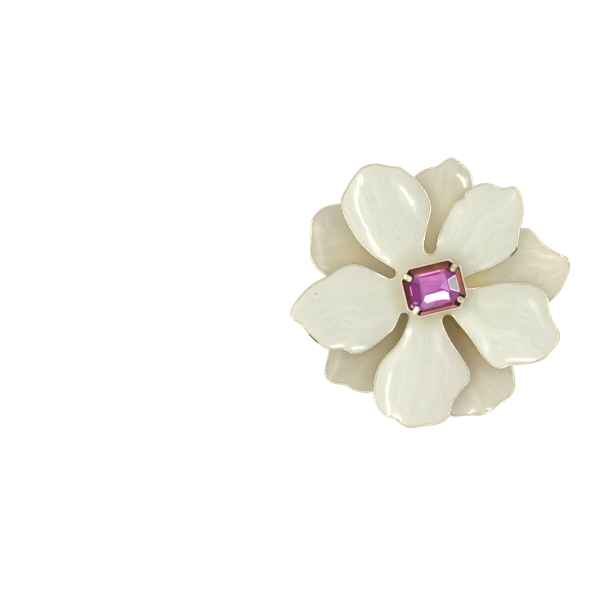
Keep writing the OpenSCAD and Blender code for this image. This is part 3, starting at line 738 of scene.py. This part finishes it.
class Tree:
    """Short names for building the nodes of a material or a world."""

    def __init__(self, owner, shader="Principled BSDF"):
        owner.use_nodes = True
        self.owner = owner
        self.nodes, self.links = owner.node_tree.nodes, owner.node_tree.links
        self.shader = self.nodes[shader]

    def add(self, kind, inputs=(), **settings):
        node = self.nodes.new("ShaderNode" + kind)
        for key, value in settings.items():
            setattr(node, key, value)
        for key, value in dict(inputs).items():
            self.put(node.inputs[key], value)
        return node

    def put(self, socket, value):
        """A link or a plain value into a socket."""
        if isinstance(value, bpy.types.NodeSocket):
            self.links.new(value, socket)
        else:
            socket.default_value = value

    def set(self, **values):
        for key, value in values.items():
            self.put(self.shader.inputs[key.replace("_", " ")], value)

    def math(self, operation, a, b=0.0, c=0.0):
        return self.add("Math", {0: a, 1: b, 2: c}, operation=operation).outputs[0]

    def times(self, a, b):
        return self.math("MULTIPLY", a, b)

    def mix(self, share, a, b, kind="MIX"):
        """A colour between a and b, which are sockets 6 and 7, or made from both."""
        return self.add("Mix", {0: share, 6: a, 7: b}, data_type="RGBA", blend_type=kind).outputs[2]

    def blend(self, share, a, b):
        """A number between a and b, which are sockets 2 and 3."""
        return self.add("Mix", {0: share, 2: a, 3: b}, data_type="FLOAT").outputs[0]

    def between(self, value, low, high):
        """0 where value is low, 1 where it is high, smooth at both ends."""
        inputs = {"Value": value, "From Min": low, "From Max": high}
        return self.add("MapRange", inputs, interpolation_type="SMOOTHSTEP").outputs["Result"]

    def by_petal(self, petal, levels):
        """A level for each petal."""
        node = self.add("ValToRGB", {0: self.math("DIVIDE", petal, len(levels))})
        stops = node.color_ramp.elements
        node.color_ramp.interpolation = "CONSTANT"
        top = max(levels) or 1.0
        for n, level in enumerate(levels):
            stop = stops[n] if n < 2 else stops.new(n / len(levels))
            stop.position = max(0, (n - 0.5) / len(levels))
            stop.color = (*[level / top] * 3, 1.0)
        return self.times(node.outputs[0], top)

    def near(self, x, y, spot_x, spot_y, reach, full):
        """1 within the full distance of a spot, falling to 0 at its reach."""
        ends = {0: self.vector(x, y), 1: (spot_x, spot_y, 0.0)}
        apart = self.add("VectorMath", ends, operation="DISTANCE")
        return self.between(apart.outputs["Value"], reach, full)

    def noise(self, vector, scale, detail=2.0, rough=0.5):
        inputs = {"Vector": vector, "Scale": scale, "Detail": detail, "Roughness": rough}
        return self.add("TexNoise", inputs).outputs[0]

    def sway(self, vector, scale, detail, rough=0.5):
        """Noise to both sides of 0."""
        return self.math("SUBTRACT", self.noise(vector, scale, detail, rough), 0.5)

    def vector(self, x=0.0, y=0.0, z=0.0):
        return self.add("CombineXYZ", {0: x, 1: y, 2: z}).outputs[0]

    def place(self):
        """Place in the object's own axes, in metres."""
        return self.add("TexCoord").outputs["Object"]

    def level(self, name):
        """The value of a mesh attribute."""
        return self.add("Attribute", attribute_name=name).outputs["Fac"]

    def parts(self, name):
        """The three values of a mesh attribute."""
        read = self.add("Attribute", attribute_name=name)
        return self.add("SeparateXYZ", {0: read.outputs["Vector"]}).outputs

    def bump(self, height, strength, distance):
        inputs = {"Height": height, "Strength": strength, "Distance": distance}
        return self.add("Bump", inputs).outputs[0]


TARNISH = linear(48, 42, 30)
SPECK = linear(96, 104, 84)
BLUSH = linear(214, 202, 192)
# Painted shade at the foot of the back petals, under the front layer
PAINTED_FOOT_SHADE = linear(168, 132, 48)

# Streaks: how far they sway and curl across a petal, how slowly they change along it, how far
# apart the petals lie in the noise, and between which radii they begin
STREAK_SWAY = 12.0
STREAK_CURL = 5.0
STREAK_ALONG = 0.07
PETAL_APART = 7.3
STREAKS_BEGIN = (5.5, 9.0)
# Width and strength of the veins
VEIN_W = 0.035
VEIN_SHARE = 0.4
# Distances in from the rim over which the margin grows warmer
MARGIN = (3.4, 0.1)
# Where the gloss of a petal's one side turns into that of the other, and over how far to each
# side of its start the mirroring grows
RIDGE = (-0.8, 0.3)
MIRROR_RUN = 1.0


def streaked(t, body, light, vein, flat, out, across, petal, radius, wave):
    """The body's colour with its streaks and veins, and the noise of the fine streaks."""
    curl = t.sway(flat, 0.3, 2.0)
    bend = t.math("MULTIPLY_ADD", t.sway(flat, 0.13, 1.0), STREAK_SWAY, t.times(curl, STREAK_CURL))
    aside = t.math("ADD", across, t.times(bend, wave))
    place = t.vector(aside, t.times(out, STREAK_ALONG), t.times(petal, PETAL_APART))
    fine = t.noise(place, 1.3, 3.0, 0.6)
    broad = t.noise(place, 0.45)
    both = t.blend(0.5, t.between(fine, 0.28, 0.72), t.between(broad, 0.28, 0.72))
    off_hub = t.between(radius, *STREAKS_BEGIN)
    colour = t.mix(t.blend(off_hub, 0.5, both), body, light)
    hair = t.between(t.math("ABSOLUTE", t.sway(place, 0.9, 4.0, 0.65)), VEIN_W, 0.0)
    hair = t.times(hair, t.between(curl, -0.12, 0.1))
    hair = t.times(hair, t.times(off_hub, VEIN_SHARE))
    return t.mix(hair, colour, vein), fine


def polished(t, x, y, across, radius, look, hazes):
    """How well the enamel mirrors: by side, from some way out, not in hazy places."""
    polish = t.blend(t.between(across, *RIDGE), look["right"], look["left"])
    outer = t.math("SUBTRACT", radius, look["mirror_from"])
    polish = t.times(polish, t.between(outer, -MIRROR_RUN, MIRROR_RUN))
    for haze_x, haze_y, haze_r in hazes:
        hazy = t.near(x, y, haze_x, haze_y, haze_r, haze_r * HAZE_FULL)
        polish = t.times(polish, t.math("SUBTRACT", 1.0, hazy))
    return polish


def enamel_material(name, colours, foot_at, looks, specks=(), hazes=()):
    """Pearl enamel with streaks, a warmer margin, a blush, specks and gloss, a painted shade on each
    petal, and a foot by the hub, which on the back layer is painted light and shade.
    """
    t = Tree(bpy.data.materials.new(name))
    body, light, vein, edge, foot = (linear(*colour) for colour in colours)
    out, across, petal = t.parts("petal")
    x, y, depth = t.parts("place")
    look = {key: t.by_petal(petal, column) for key, column in zip(LOOK_NAMES, zip(*looks))}
    radius = t.math("SQRT", t.math("ADD", t.times(x, x), t.times(y, y)))
    flat = t.vector(x, y, petal)
    colour, fine = streaked(t, body, light, vein, flat, out, across, petal, radius, look["wave"])
    cloud = t.between(t.noise(flat, 0.2), 0.38, 0.62)
    warm = t.times(t.between(depth, *MARGIN), t.blend(cloud, 0.2, 0.85))
    colour = t.mix(warm, colour, edge)
    colour = t.mix(t.times(look["pink"], t.blend(cloud, 0.5, 1.5)), colour, BLUSH)
    # The foot by the hub; on the back layer a painted light, darkened by each petal's painted shade
    foot = t.mix(look["foot_shade"], foot, PAINTED_FOOT_SHADE)
    colour = t.mix(t.between(radius, look["foot_to"], foot_at), colour, foot)
    # Painted shade of each whole petal
    colour = t.mix(1.0, colour, look["shade"], "MULTIPLY")
    for speck_x, speck_y, speck_r, strength in specks:
        share = t.times(t.near(x, y, speck_x, speck_y, speck_r, 0.0), strength)
        colour = t.mix(share, colour, SPECK)
    t.set(Base_Color=colour, Roughness=0.25, IOR=1.5, Coat_Roughness=0.075)
    t.set(Coat_Weight=polished(t, x, y, across, radius, look, hazes))
    swell = t.math("ADD", t.noise(flat, 0.4, 1.0), t.times(fine, 0.3))
    normal = t.bump(swell, 0.12, 0.0003)
    t.set(Normal=normal, Coat_Normal=normal)
    return t.owner


# Platings: colour, patches and a darker colour for painted shade and darker places, 0 to 255,
# roughness, and scale of the patches
GILTS = {
    "pale_gilt": ((246, 240, 216), (232, 222, 190), (168, 162, 136), 0.26, 160.0),
    "cup_gilt": ((255, 238, 216), (246, 218, 190), (170, 146, 112), 0.3, 300.0),
    "claw_gilt": ((255, 246, 222), (216, 194, 152), (166, 142, 104), 0.3, 2600.0),
}


def gilt_material(name, colour, patch, dull, rough, patch_scale):
    """Pale gold plating with a casting's fine unevenness, tarnish and painted shade."""
    t = Tree(bpy.data.materials.new(name))
    place = t.place()
    grain = t.noise(place, 900.0, 3.0, 0.6)
    patches = t.between(t.noise(place, patch_scale), 0.35, 0.7)
    tone = t.mix(patches, linear(*colour), linear(*patch))
    # Painted shade, and darker places, where the mesh marks them
    tone = t.mix(t.level("dull"), tone, linear(*dull))
    tone = t.mix(t.level("stain"), tone, TARNISH)
    t.set(Base_Color=tone, Metallic=1.0, Roughness=t.blend(grain, rough * 0.8, rough * 1.3))
    t.set(Normal=t.bump(grain, 0.15, 0.0001))
    return t.owner


# Facets seen through the crown, each painted over those before it, whose tones are painted
# reflections and painted shade of a cut stone: tone, then corners in the stone's own axes, along
# its length and across it
FACETS = [
    ("umber", [(-3.6, 4.1), (3.6, 4.1), (3.1, 2.8), (-3.0, 3.0)]),
    ("wine", [(-5.1, 2.6), (-4.2, 1.8), (-4.3, -2.0), (-5.1, -2.6)]),
    ("russet", [(4.1, 1.9), (5.1, 2.6), (5.1, -2.6), (4.2, -2.0)]),
    ("rosewood", [(-3.0, -3.55), (2.6, -3.55), (3.6, -4.1), (-3.6, -4.1)]),
    ("violet", [(-2.8, 3.0), (2.6, 2.8), (3.4, 1.8), (4.2, 1.4), (4.1, -1.8), (3.1, -2.7),
        (2.6, -3.5), (-2.6, -3.4), (-3.4, -2.8), (-4.3, -1.9), (-4.1, 1.6), (-3.1, 2.0)]),
    ("rose", [(-2.7, 3.0), (2.6, 2.8), (2.4, 2.1), (-2.2, 2.3), (-2.8, 2.4)]),
    ("pink", [(-2.1, 2.75), (1.8, 2.8), (1.7, 2.55), (-1.8, 2.5)]),
    ("plum", [(-2.0, 2.42), (1.7, 2.48), (1.7, 2.22), (-1.9, 2.08)]),
    ("orchid", [(-2.2, 2.2), (2.3, 2.1), (2.4, 1.0), (1.0, -0.1), (0.6, -0.4), (-1.5, -0.5),
        (-2.1, -0.9), (-2.2, 0.7), (-2.1, 1.4)]),
    ("heather", [(-2.2, 2.2), (2.3, 2.1), (2.4, 1.0), (1.5, 0.3), (-0.8, 0.7), (-2.1, 1.2)]),
    ("peony", [(-2.2, 2.2), (2.3, 2.1), (2.4, 1.0), (2.0, 0.8), (0.4, 1.3), (-2.1, 1.75)]),
    ("mallow", [(-2.8, 2.4), (-2.1, 1.4), (-2.2, 0.7), (-2.1, -0.9), (-2.3, -1.4), (-2.5, -0.2)]),
    ("lilac", [(2.4, 1.0), (1.0, -0.1), (2.5, -1.2), (2.4, -0.4)]),
    ("grape", [(2.6, 2.8), (3.4, 1.8), (2.6, 1.0), (2.4, 1.0), (2.3, 2.1)]),
    ("ink", [(3.2, 3.0), (4.3, 1.6), (2.7, 1.1), (3.4, 1.7)]),
    ("mist", [(2.6, 0.85), (4.1, 1.4), (4.15, -1.7), (2.7, -0.85)]),
    ("steel", [(2.7, 0.75), (4.0, 1.2), (4.0, -1.45), (2.8, -0.75)]),
    ("mallow", [(-1.5, -0.6), (1.5, -0.6), (1.5, -0.8), (-1.7, -0.8)]),
    ("mauve", [(-2.3, -1.6), (2.2, -1.3), (2.7, -3.2), (2.5, -3.5), (1.2, -3.2), (-2.4, -3.2),
        (-3.0, -2.6)]),
    ("lavender", [(-2.3, -1.6), (-1.9, -2.2), (-0.4, -2.1), (-0.9, -2.9), (-2.4, -3.0), (-3.0, -2.6)]),
    ("mist", [(-1.7, -0.9), (1.5, -0.8), (2.2, -1.3), (2.2, -2.5), (1.1, -2.2), (-0.3, -2.1),
        (-1.8, -2.2), (-2.2, -1.6)]),
    ("wine", [(-2.6, -3.6), (2.4, -3.55), (2.6, -2.95), (1.5, -2.9), (0.8, -3.15), (-2.2, -3.15)]),
    ("grape", [(2.5, -1.2), (2.8, -0.9), (4.1, -1.7), (3.1, -2.5), (2.7, -3.2), (2.2, -2.6),
        (2.2, -1.3)]),
    ("ink", [(-3.1, 1.8), (-2.3, 1.1), (-2.5, -0.8), (-2.4, -1.5), (-3.3, -2.7), (-4.2, -1.9),
        (-4.1, 1.6)]),
    ("magenta", [(-4.0, 1.5), (-3.1, 1.6), (-2.8, 0.6), (-2.9, -0.7), (-3.7, -1.9), (-4.1, -1.8)]),
    ("pink", [(-3.95, 1.2), (-3.8, 1.2), (-3.85, -0.4), (-4.0, -0.3)]),
    ("lilac", [(-4.1, -1.7), (-3.5, -2.1), (-3.2, -1.7), (-3.7, -1.5)]),
    ("pink", [(-4.4, -1.8), (-4.1, -2.3), (-4.3, -2.5), (-4.6, -2.1)]),
]
# Depth of the facets for each millimetre in from the stone's outline, the deepest, the gap of
# their sheet to the outline, and the height of its edge
FACET_SLOPE = 0.45
FACET_DEEPEST = 1.1
FACET_MARGIN = 0.05
FACET_TOP = GIRDLE_LOW + 0.1
# How strongly the facets glow, in place of the light that a cut stone sends back
FACET_GLOW = 0.35
# Slots of the stone's materials: the crown, and its back in the first tone
CROWN_SLOT, BACK_SLOT = 0, 1

# Two tones of each kind of facet, painted reflections and shade, the first for what no facet
# covers
TONES = {
    "dark": ((34, 10, 14), (60, 22, 26)),
    "umber": ((110, 48, 30), (134, 68, 40)),
    "wine": ((98, 18, 40), (112, 38, 44)),
    "russet": ((168, 100, 78), (186, 118, 92)),
    "rosewood": ((234, 164, 146), (210, 138, 126)),
    "lavender": ((176, 134, 172), (162, 118, 162)),
    "violet": ((140, 50, 130), (160, 70, 150)),
    "rose": ((168, 80, 124), (186, 106, 152)),
    "mauve": ((182, 100, 150), (166, 88, 140)),
    "pink": ((250, 150, 212), (255, 176, 226)),
    "plum": ((130, 20, 88), (150, 34, 104)),
    "orchid": ((150, 76, 142), (168, 90, 156)),
    "heather": ((166, 88, 152), (178, 98, 162)),
    "peony": ((182, 102, 164), (194, 114, 176)),
    "mallow": ((142, 52, 122), (132, 52, 118)),
    "lilac": ((188, 124, 190), (176, 112, 178)),
    "grape": ((122, 44, 112), (142, 60, 130)),
    "ink": ((84, 12, 72), (104, 16, 92)),
    "steel": ((162, 172, 166), (146, 158, 152)),
    "mist": ((252, 246, 254), (238, 222, 246)),
    "magenta": ((138, 4, 112), (116, 3, 98)),
}


def facet_material(name, one, two):
    """A facet of the stone's back: a painted reflection, glowing, its tone drifting a little."""
    t = Tree(bpy.data.materials.new("stone_" + name))
    drift = t.between(t.noise(t.place(), 420.0, 1.0), 0.35, 0.65)
    tone = t.mix(drift, linear(*one), linear(*two))
    t.set(Base_Color=tone, Roughness=0.3, Emission_Color=tone, Emission_Strength=FACET_GLOW)
    return t.owner


def crown_material():
    """Clear polished crown, which mirrors the lights."""
    t = Tree(bpy.data.materials.new("stone_crown"))
    wear = t.blend(t.noise(t.place(), 700.0), 0.01, 0.05)
    gloss = t.add("BsdfGlossy", {"Roughness": wear})
    clear = t.add("BsdfTransparent", {"Color": (0.97, 0.95, 0.97, 1.0)})
    mirror = t.add("Fresnel", {"IOR": 1.32})
    both = t.add("MixShader", {0: mirror.outputs[0], 1: clear.outputs[0], 2: gloss.outputs[0]})
    t.links.new(both.outputs[0], t.nodes["Material Output"].inputs["Surface"])
    return t.owner


def facet_depth(flat):
    """Depth of the stone's back under the girdle, growing from its outline inwards."""
    corners = octagon(*GIRDLE)
    inward = left_of(unit(np.roll(corners, -1, 0) - corners))
    inset = ((flat[:, None] - corners[None]) * inward[None]).sum(-1).min(1)
    return np.minimum(np.maximum(inset, 0) * FACET_SLOPE, FACET_DEEPEST)


def add_facets(shell):
    """The sheet of facets under the crown, coloured with painted reflections and shade."""
    names = list(TONES)
    outer = octagon(STONE_L - 2 * FACET_MARGIN, STONE_W - 2 * FACET_MARGIN, STONE_CUT)
    loops = [outer] + [np.array(corners) for _, corners in FACETS]
    found = laid_out(np.vstack(loops), loops, SAME_CORNER)
    flat, triangles = np.array(found[0]), np.array(found[2])
    middle = flat[triangles].mean(1)
    tone = np.zeros(len(triangles), int)
    for name, corners in FACETS:
        tone[inside(middle, np.array(corners))] = names.index(name)
    kept = inside(middle, outer)
    numbers = shell.add(at_stone(raised(flat, FACET_TOP - facet_depth(flat))))
    for t, k in zip(triangles[kept], tone[kept]):
        shell.face(numbers[t], BACK_SLOT + k)


def make_stone():
    """Clear stepped crown over a back of facets in painted reflections and shade."""
    shell = Shell()
    back = add_levels(shell, STONE_PAVILION)
    crown = add_levels(shell, STONE_CROWN)
    shell.strips(back, BACK_SLOT)
    shell.face(back[0][::-1], BACK_SLOT)
    shell.strip(back[-1], crown[0], BACK_SLOT)
    shell.strips(crown, CROWN_SLOT)
    shell.face(crown[-1], CROWN_SLOT)
    add_facets(shell)
    materials = [crown_material()] + [facet_material(name, *two) for name, two in TONES.items()]
    return shell.build("cut_stone", materials, smooth=False)


# The floor: its two tones, its glow and half its width in metres
FLOOR_WHITE = (0.47, 0.47, 0.47, 1.0)
FLOOR_PALE = (0.50, 0.50, 0.50, 1.0)
FLOOR_GLOW = 0.66
FLOOR_HALF = 3.0


def make_floor():
    """A pale glowing floor, for the picture alone."""
    mesh = bpy.data.meshes.new("floor")
    corners = [(-1, -1), (1, -1), (1, 1), (-1, 1)]
    mesh.from_pydata([(x * FLOOR_HALF, y * FLOOR_HALF, 0) for x, y in corners], [], [(0, 1, 2, 3)])
    t = Tree(bpy.data.materials.new("pale_floor"))
    t.set(Base_Color=t.mix(t.noise(t.place(), 30.0), FLOOR_WHITE, FLOOR_PALE),
          Roughness=0.9, Specular_IOR_Level=0.0)
    t.set(Emission_Color=(1.0, 1.0, 1.0, 1.0), Emission_Strength=FLOOR_GLOW)
    mesh.materials.append(t.owner)
    placed("floor", mesh)


# The picture: its size, the pixel where the hub's middle shows, the size of a pixel at the
# petals' height, and that height
IMAGE_PX = 600
HUB_PX = (428.1, 287.1)
MM_PER_PX = 0.1706
PETALS_Z = 5.0
CAMERA_AWAY = 1200.0
SENSOR_MM = 36.0
# Nearest and furthest that the camera sees, in metres
CLIP_M = (0.01, 10.0)


def make_camera():
    """Straight in front of the flower, with the hub off the middle as in the photo."""
    half = IMAGE_PX / 2
    data = bpy.data.cameras.new("camera")
    data.sensor_width = SENSOR_MM
    data.lens = SENSOR_MM * (CAMERA_AWAY - PETALS_Z) / (MM_PER_PX * IMAGE_PX)
    data.clip_start, data.clip_end = CLIP_M
    camera = placed("camera", data)
    at = Vector(((half - HUB_PX[0]) * MM_PER_PX, (HUB_PX[1] - half) * MM_PER_PX, CAMERA_AWAY))
    camera.matrix_world = Matrix.Translation(FLOWER @ at) @ FLOWER_TURN
    bpy.context.scene.camera = camera


# Light strips on a dome of that radius: start and end, to the right and up in shares of the
# radius, width, and power in watts
LIGHTS_AWAY = 440.0
LIGHTS = {
    "left_strip": ((-0.56, 0.42), (-0.38, -0.62), 30, 0.26),
    "left_panel": ((-0.50, -0.42), (-0.44, -0.72), 40, 0.08),
    "neck_panel": ((-0.50, 0.45), (-0.45, 0.28), 36, 0.07),
    "low_strip": ((0.00, -0.79), (0.34, -0.76), 30, 0.14),
    "right_strip": ((0.36, 0.44), (0.52, 0.22), 28, 0.12),
    "right_strip_2": ((0.53, 0.34), (0.60, 0.05), 20, 0.05),
}
# Soft surroundings, brighter on the flower's upper left
BRIGHT_SIDE = (-0.6, 0.7, 0.6)
WORLD_LEVEL = {"From Min": -1.0, "From Max": 1.0, "To Min": 0.62, "To Max": 1.02}


def light_end(x, y):
    """A point of the lights' dome, from how far it lies to the right and above."""
    return Vector((x, y, math.sqrt(1 - x * x - y * y))) * LIGHTS_AWAY


def make_light(name, start, end, width, power):
    """A light strip from one point of the dome to another, turned to the flower."""
    a, b = light_end(*start), light_end(*end)
    data = bpy.data.lights.new(name, "AREA")
    data.shape = "RECTANGLE"
    data.size, data.size_y = width * MM, (b - a).length * MM
    data.energy = power
    light = placed(name, data)
    along = (b - a).normalized()
    middle = (a + b) / 2
    outward = (middle - along * middle.dot(along)).normalized()
    turn = Matrix((along.cross(outward), along, outward)).transposed().to_4x4()
    at = FLOWER @ (middle + Vector((0, 0, PETALS_Z)))
    light.matrix_world = Matrix.Translation(at) @ FLOWER_TURN @ turn


def make_lights():
    """The light strips, and a world brighter on one side."""
    for name, row in LIGHTS.items():
        make_light(name, *row)
    t = Tree(bpy.data.worlds.new("studio"), "Background")
    way = t.add("TexCoord").outputs["Generated"]
    towards = FLOWER_TURN.to_3x3() @ Vector(BRIGHT_SIDE).normalized()
    side = t.add("VectorMath", {0: way, 1: towards}, operation="DOT_PRODUCT").outputs["Value"]
    level = t.add("MapRange", {"Value": side, **WORLD_LEVEL}).outputs["Result"]
    t.set(Color=(1.0, 1.0, 1.0, 1.0), Strength=level)
    bpy.context.scene.world = t.owner
    bpy.context.scene.view_settings.view_transform = "Standard"


# Rounding of the boss under the setting, and the back enamel's hole against the boss in it
FOOT_ROUND = 0.1
HOLE_WIDER = 1.02

front_outline, back_outline = Outline(FRONT), Outline(BACK)
foot = at_stone(octagon(*FOOT, FOOT_ROUND))
around = np.linspace(0, 2 * math.pi, BOSS_SIDES, endpoint=False)
boss = BOSS_R * np.column_stack([np.cos(around), np.sin(around)])

gilt, cup_gilt, claw_gilt = (gilt_material(name, *row) for name, row in GILTS.items())
front_pearl = enamel_material(
    "front_pearl", FRONT_COLOURS, FRONT_FOOT, FRONT_LOOKS, FRONT_SPECKS, FRONT_HAZES)
back_pearl = enamel_material("back_pearl", BACK_COLOURS, BACK_FOOT, BACK_LOOKS)

front_gilt = make_metal("front_gilt", front_outline, foot, FOOT_Z, FRONT_TARNISH, gilt)
back_gilt = make_metal("back_gilt", back_outline, boss, LAYER_GAP, BACK_TARNISH, gilt)
front_skin = make_enamel("front_skin", front_outline, foot, front_pearl)
back_skin = make_enamel("back_skin", back_outline, boss * HOLE_WIDER, back_pearl)
claw_setting = make_setting(cup_gilt, claw_gilt)
cut_stone = make_stone()

# Each piece, the node that it replaces, which is hidden, and the name of its slot, not used here
for piece, node, slot in [
    (front_gilt, "front_petals", "gilt_metal"),
    (back_gilt, "back_petals", "gilt_metal"),
    (front_skin, "front_enamel", "front_enamel"),
    (back_skin, "back_enamel", "back_enamel"),
    (claw_setting, "setting", "gilt_metal"),
    (cut_stone, "stone", "stone"),
]:
    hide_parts(node)
post_materials = frame["nodes"]["ear_post"].data.materials
post_materials.clear()
post_materials.append(gilt)

make_floor()
make_camera()
make_lights()
